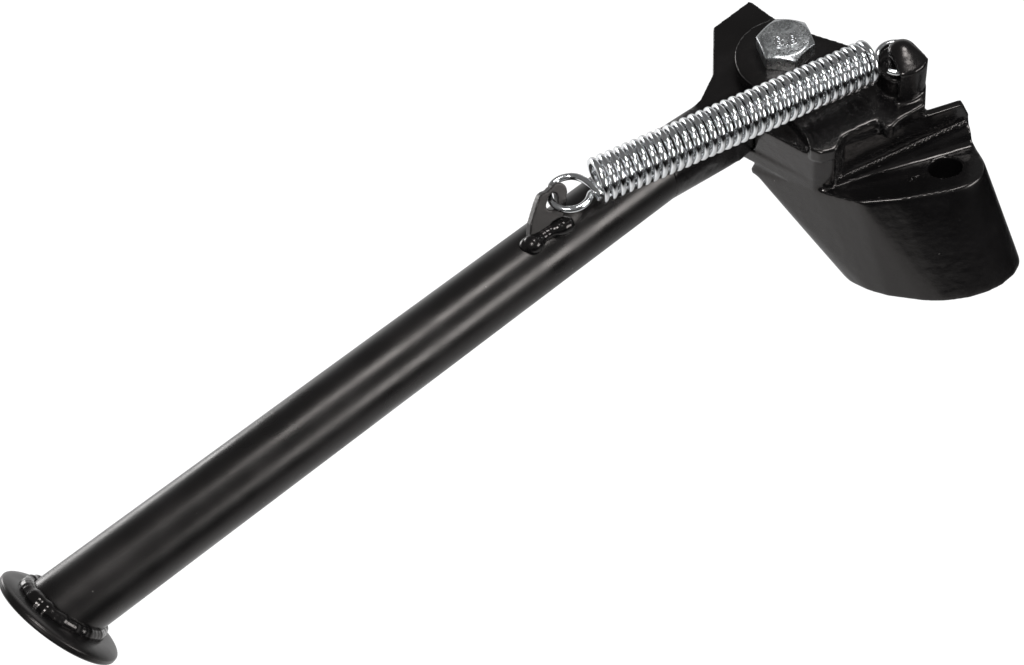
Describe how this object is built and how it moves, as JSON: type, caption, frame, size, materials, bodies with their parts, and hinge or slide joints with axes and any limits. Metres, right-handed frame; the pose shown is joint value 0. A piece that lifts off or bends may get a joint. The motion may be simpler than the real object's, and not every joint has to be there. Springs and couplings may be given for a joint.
{
  "type": "motorcycle side stand",
  "caption": "Motorcycle side stand: a tubular leg with a round foot swings in a fork bracket on a pivot bolt, pulled by a coil spring between a tab and a post.",
  "frame": {"origin": "centre of the mounting bore's mouth on the bracket's pad", "axes": "+Z out of the mounting bore; the leg lies toward -X and -Y when it is down, the fork stands toward +Y"},
  "size_m": [0.3243, 0.1929, 0.0897],
  "materials": {
    "black_paint": "gloss black paint",
    "zinc": "bright zinc plate",
    "spring_zinc": "bright zinc plate on drawn wire",
    "bare_steel": "turned steel",
    "blue_nylon": "moulded nylon"
  },
  "bodies": {
    "bracket": {"bracket": "black_paint", "pivot_bolt": "zinc", "pivot_washer": "zinc", "lock_nut": "zinc", "lock_insert": "blue_nylon"},
    "leg": {"leg_tube": "black_paint", "leg_eye": "black_paint", "pivot_bush": "bare_steel", "foot_plate": "black_paint", "foot_weld": "black_paint", "spring_tab": "black_paint", "tab_weld": "black_paint"},
    "spring": {"return_spring": "spring_zinc"}
  },
  "joints": [
    {"name": "leg_swing", "type": "hinge", "parent": "bracket", "child": "leg", "pos_m": [-0.036, 0.045, 0.023], "axis": [0, 0.3156, -0.9489], "range_deg": [0, 95]},
    {"name": "spring_swing", "type": "hinge", "parent": "bracket", "child": "spring", "pos_m": [-0.0064, 0.01386, 0.03741], "axis": [0, 0.3156, -0.9489], "range_deg": [0, 72], "deforming": ["return_spring"]}
  ],
  "couplings": [
    {"joint": "spring_swing", "follows": "leg_swing", "ratio": 0.743}
  ]
}
